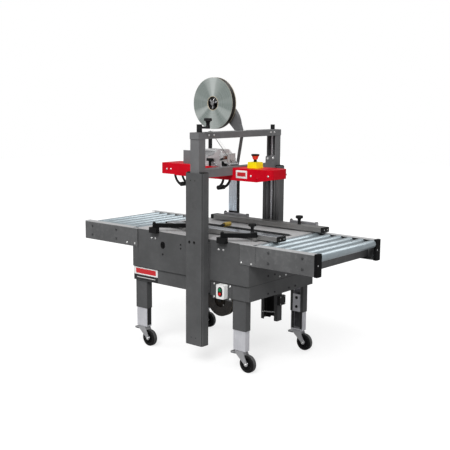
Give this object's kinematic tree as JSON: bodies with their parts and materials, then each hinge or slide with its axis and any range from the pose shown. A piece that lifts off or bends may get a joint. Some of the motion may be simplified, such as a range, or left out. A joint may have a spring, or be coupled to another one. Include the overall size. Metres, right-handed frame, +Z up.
{
  "type": "case sealer",
  "caption": "Carton taping machine with an adjustable taping head between two columns, side guides, a belt-driven bed and roller conveyors at both ends, on braked casters",
  "frame": {"origin": "on the floor under the middle of the machine", "axes": "+X runs with the cartons from infeed to exit, -Y is the operator's side, +Z is up"},
  "size_m": [1.842, 0.8, 1.691],
  "materials": {
    "dark_paint": "fine textured dark grey powder coat",
    "bed_steel": "rolled sheet",
    "belt_rubber": "black ribbed belt",
    "zinc": "zinc plate",
    "black_plastic": "moulded",
    "brass": "bare",
    "red_cover": "gloss red",
    "yellow_base": "moulded",
    "red_button": "moulded",
    "green_button": "moulded",
    "switch_grey": "moulded",
    "clear_tape": "wound film",
    "brown_tape": "wound film",
    "wheel_rubber": "moulded"
  },
  "bodies": {
    "base": {"body_panels": "dark_paint", "bed_plate": "bed_steel", "drive_belts": "belt_rubber", "belt_pulleys": "zinc", "infeed_conveyor_frame": "dark_paint", "exit_conveyor_frame": "dark_paint", "roller_axles": "zinc", "conveyor_end_caps": "black_plastic", "outer_legs": "dark_paint", "inner_legs": "zinc", "outer_columns": "dark_paint", "lift_guides": "black_plastic", "rear_fittings": "dark_paint", "lower_taping_unit": "zinc", "guide_pivot_blocks": "black_plastic", "switch_box": "switch_grey"},
    "lift": {"lift_frame": "dark_paint", "head_cross_arm": "dark_paint", "head_covers": "red_cover", "head_frame": "zinc", "upper_taping_unit": "zinc", "stop_base": "yellow_base", "drum_bracket": "dark_paint"},
    "crank": {"crank_screw": "zinc"},
    "rear_lead_screw": {"rear_screw": "zinc"},
    "drum": {"tape_roll": "clear_tape", "tape_drum": "black_plastic"},
    "stop_button": {"stop_button": "red_button"},
    "infeed_roller_arm": {"infeed_roller_arm": "black_plastic"},
    "exit_roller_arm": {"exit_roller_arm": "black_plastic"},
    "lower_roller_arm": {"lower_roller_arm": "brass"},
    "lower_tape_roll": {"lower_tape_roll": "brown_tape"},
    "start_button": {"start_button": "green_button"},
    "halt_button": {"halt_button": "red_button"},
    "infeed_roller_1": {"infeed_roller_1": "zinc"},
    "infeed_roller_2": {"infeed_roller_2": "zinc"},
    "infeed_roller_3": {"infeed_roller_3": "zinc"},
    "infeed_roller_4": {"infeed_roller_4": "zinc"},
    "infeed_roller_5": {"infeed_roller_5": "zinc"},
    "infeed_roller_6": {"infeed_roller_6": "zinc"},
    "exit_roller_1": {"exit_roller_1": "zinc"},
    "exit_roller_2": {"exit_roller_2": "zinc"},
    "exit_roller_3": {"exit_roller_3": "zinc"},
    "exit_roller_4": {"exit_roller_4": "zinc"},
    "exit_roller_5": {"exit_roller_5": "zinc"},
    "exit_roller_6": {"exit_roller_6": "zinc"},
    "infeed_front_caster_fork": {"infeed_front_caster_fork": "zinc"},
    "infeed_front_caster_wheel": {"infeed_front_caster_wheel": "wheel_rubber"},
    "infeed_rear_caster_fork": {"infeed_rear_caster_fork": "zinc"},
    "infeed_rear_caster_wheel": {"infeed_rear_caster_wheel": "wheel_rubber"},
    "exit_front_caster_fork": {"exit_front_caster_fork": "zinc"},
    "exit_front_caster_wheel": {"exit_front_caster_wheel": "wheel_rubber"},
    "exit_rear_caster_fork": {"exit_rear_caster_fork": "zinc"},
    "exit_rear_caster_wheel": {"exit_rear_caster_wheel": "wheel_rubber"},
    "front_guide_arm_infeed": {"front_guide_arm_infeed": "black_plastic"},
    "front_guide_arm_exit": {"front_guide_arm_exit": "black_plastic"},
    "front_guide_rail": {"front_guide_rail": "dark_paint"},
    "rear_guide_arm_infeed": {"rear_guide_arm_infeed": "black_plastic"},
    "rear_guide_arm_exit": {"rear_guide_arm_exit": "black_plastic"},
    "rear_guide_rail": {"rear_guide_rail": "dark_paint"}
  },
  "joints": [
    {"name": "lift_slide", "type": "slide", "parent": "base", "child": "lift", "axis": [0, 0, 1], "range_m": [-0.135, 0.33]},
    {"name": "crank_turn", "type": "hinge", "parent": "lift", "child": "crank", "pos_m": [0.111, -0.35, 1.35], "axis": [0, 0, 1], "continuous": true},
    {"name": "rear_screw_turn", "type": "hinge", "parent": "lift", "child": "rear_lead_screw", "pos_m": [0.111, 0.35, 1.35], "axis": [0, 0, 1], "continuous": true},
    {"name": "drum_turn", "type": "hinge", "parent": "lift", "child": "drum", "pos_m": [-0.076, 0, 1.534], "axis": [0, 1, 0], "continuous": true},
    {"name": "lower_roll_turn", "type": "hinge", "parent": "base", "child": "lower_tape_roll", "pos_m": [-0.009, 0, 0.305], "axis": [0, 1, 0], "continuous": true},
    {"name": "front_guide_swing", "type": "hinge", "parent": "base", "child": "front_guide_arm_infeed", "pos_m": [-0.267, -0.34, 0.79], "axis": [0, 0, 1], "range_deg": [-41, 24]},
    {"name": "front_rail_turn", "type": "hinge", "parent": "front_guide_arm_infeed", "child": "front_guide_rail", "pos_m": [-0.12382, -0.2151, 0.79], "axis": [0, 0, 1], "range_deg": [-24, 41]},
    {"name": "front_guide_follow", "type": "hinge", "parent": "base", "child": "front_guide_arm_exit", "pos_m": [0.278, -0.34, 0.79], "axis": [0, 0, 1], "range_deg": [-41, 24]},
    {"name": "rear_guide_swing", "type": "hinge", "parent": "base", "child": "rear_guide_arm_infeed", "pos_m": [-0.267, 0.34, 0.79], "axis": [0, 0, 1], "range_deg": [-65, 0]},
    {"name": "rear_rail_turn", "type": "hinge", "parent": "rear_guide_arm_infeed", "child": "rear_guide_rail", "pos_m": [-0.077, 0.34, 0.79], "axis": [0, 0, 1], "range_deg": [0, 65]},
    {"name": "rear_guide_follow", "type": "hinge", "parent": "base", "child": "rear_guide_arm_exit", "pos_m": [0.278, 0.34, 0.79], "axis": [0, 0, 1], "range_deg": [-65, 0]},
    {"name": "infeed_arm_swing", "type": "hinge", "parent": "lift", "child": "infeed_roller_arm", "pos_m": [-0.378, 0, 1.11], "axis": [0, 1, 0], "range_deg": [-50, 0], "stiffness_Nm_per_rad": 3, "springref_deg": 17.19},
    {"name": "exit_arm_swing", "type": "hinge", "parent": "lift", "child": "exit_roller_arm", "pos_m": [0.025, 0, 1.11], "axis": [0, 1, 0], "range_deg": [0, 50], "stiffness_Nm_per_rad": 3, "springref_deg": -17.19},
    {"name": "lower_arm_swing", "type": "hinge", "parent": "base", "child": "lower_roller_arm", "pos_m": [-0.062, 0, 0.695], "axis": [0, 1, 0], "range_deg": [0, 50], "stiffness_Nm_per_rad": 3, "springref_deg": -17.19},
    {"name": "stop_press", "type": "slide", "parent": "lift", "child": "stop_button", "axis": [0, 0, -1], "range_m": [0, 0.006]},
    {"name": "start_press", "type": "slide", "parent": "base", "child": "start_button", "axis": [0, 1, 0], "range_m": [0, 0.004], "stiffness_N_per_m": 300, "springref_m": -0.002},
    {"name": "halt_press", "type": "slide", "parent": "base", "child": "halt_button", "axis": [0, 1, 0], "range_m": [0, 0.004], "stiffness_N_per_m": 300, "springref_m": -0.002},
    {"name": "infeed_front_swivel", "type": "hinge", "parent": "base", "child": "infeed_front_caster_fork", "pos_m": [-0.4135, -0.287, 0.11], "axis": [0, 0, 1], "continuous": true},
    {"name": "infeed_rear_swivel", "type": "hinge", "parent": "base", "child": "infeed_rear_caster_fork", "pos_m": [-0.4135, 0.287, 0.11], "axis": [0, 0, 1], "continuous": true},
    {"name": "exit_front_swivel", "type": "hinge", "parent": "base", "child": "exit_front_caster_fork", "pos_m": [0.3835, -0.287, 0.11], "axis": [0, 0, 1], "continuous": true},
    {"name": "exit_rear_swivel", "type": "hinge", "parent": "base", "child": "exit_rear_caster_fork", "pos_m": [0.3835, 0.287, 0.11], "axis": [0, 0, 1], "continuous": true},
    {"name": "infeed_front_wheel_spin", "type": "hinge", "parent": "infeed_front_caster_fork", "child": "infeed_front_caster_wheel", "pos_m": [-0.3635, -0.287, 0.0525], "axis": [0, 1, 0], "continuous": true},
    {"name": "infeed_rear_wheel_spin", "type": "hinge", "parent": "infeed_rear_caster_fork", "child": "infeed_rear_caster_wheel", "pos_m": [-0.3635, 0.287, 0.0525], "axis": [0, 1, 0], "continuous": true},
    {"name": "exit_front_wheel_spin", "type": "hinge", "parent": "exit_front_caster_fork", "child": "exit_front_caster_wheel", "pos_m": [0.4335, -0.287, 0.0525], "axis": [0, 1, 0], "continuous": true},
    {"name": "exit_rear_wheel_spin", "type": "hinge", "parent": "exit_rear_caster_fork", "child": "exit_rear_caster_wheel", "pos_m": [0.4335, 0.287, 0.0525], "axis": [0, 1, 0], "continuous": true},
    {"name": "infeed_roller_1_spin", "type": "hinge", "parent": "base", "child": "infeed_roller_1", "pos_m": [-0.846, 0, 0.735], "axis": [0, 1, 0], "continuous": true},
    {"name": "infeed_roller_2_spin", "type": "hinge", "parent": "base", "child": "infeed_roller_2", "pos_m": [-0.77, 0, 0.735], "axis": [0, 1, 0], "continuous": true},
    {"name": "infeed_roller_3_spin", "type": "hinge", "parent": "base", "child": "infeed_roller_3", "pos_m": [-0.694, 0, 0.735], "axis": [0, 1, 0], "continuous": true},
    {"name": "infeed_roller_4_spin", "type": "hinge", "parent": "base", "child": "infeed_roller_4", "pos_m": [-0.618, 0, 0.735], "axis": [0, 1, 0], "continuous": true},
    {"name": "infeed_roller_5_spin", "type": "hinge", "parent": "base", "child": "infeed_roller_5", "pos_m": [-0.542, 0, 0.735], "axis": [0, 1, 0], "continuous": true},
    {"name": "infeed_roller_6_spin", "type": "hinge", "parent": "base", "child": "infeed_roller_6", "pos_m": [-0.466, 0, 0.735], "axis": [0, 1, 0], "continuous": true},
    {"name": "exit_roller_1_spin", "type": "hinge", "parent": "base", "child": "exit_roller_1", "pos_m": [0.516, 0, 0.735], "axis": [0, 1, 0], "continuous": true},
    {"name": "exit_roller_2_spin", "type": "hinge", "parent": "base", "child": "exit_roller_2", "pos_m": [0.592, 0, 0.735], "axis": [0, 1, 0], "continuous": true},
    {"name": "exit_roller_3_spin", "type": "hinge", "parent": "base", "child": "exit_roller_3", "pos_m": [0.668, 0, 0.735], "axis": [0, 1, 0], "continuous": true},
    {"name": "exit_roller_4_spin", "type": "hinge", "parent": "base", "child": "exit_roller_4", "pos_m": [0.744, 0, 0.735], "axis": [0, 1, 0], "continuous": true},
    {"name": "exit_roller_5_spin", "type": "hinge", "parent": "base", "child": "exit_roller_5", "pos_m": [0.82, 0, 0.735], "axis": [0, 1, 0], "continuous": true},
    {"name": "exit_roller_6_spin", "type": "hinge", "parent": "base", "child": "exit_roller_6", "pos_m": [0.896, 0, 0.735], "axis": [0, 1, 0], "continuous": true}
  ],
  "couplings": [
    {"joint": "rear_screw_turn", "follows": "crank_turn", "ratio": 1},
    {"joint": "front_rail_turn", "follows": "front_guide_swing", "ratio": -1},
    {"joint": "front_guide_follow", "follows": "front_guide_swing", "ratio": 1},
    {"joint": "rear_rail_turn", "follows": "rear_guide_swing", "ratio": -1},
    {"joint": "rear_guide_follow", "follows": "rear_guide_swing", "ratio": 1}
  ]
}
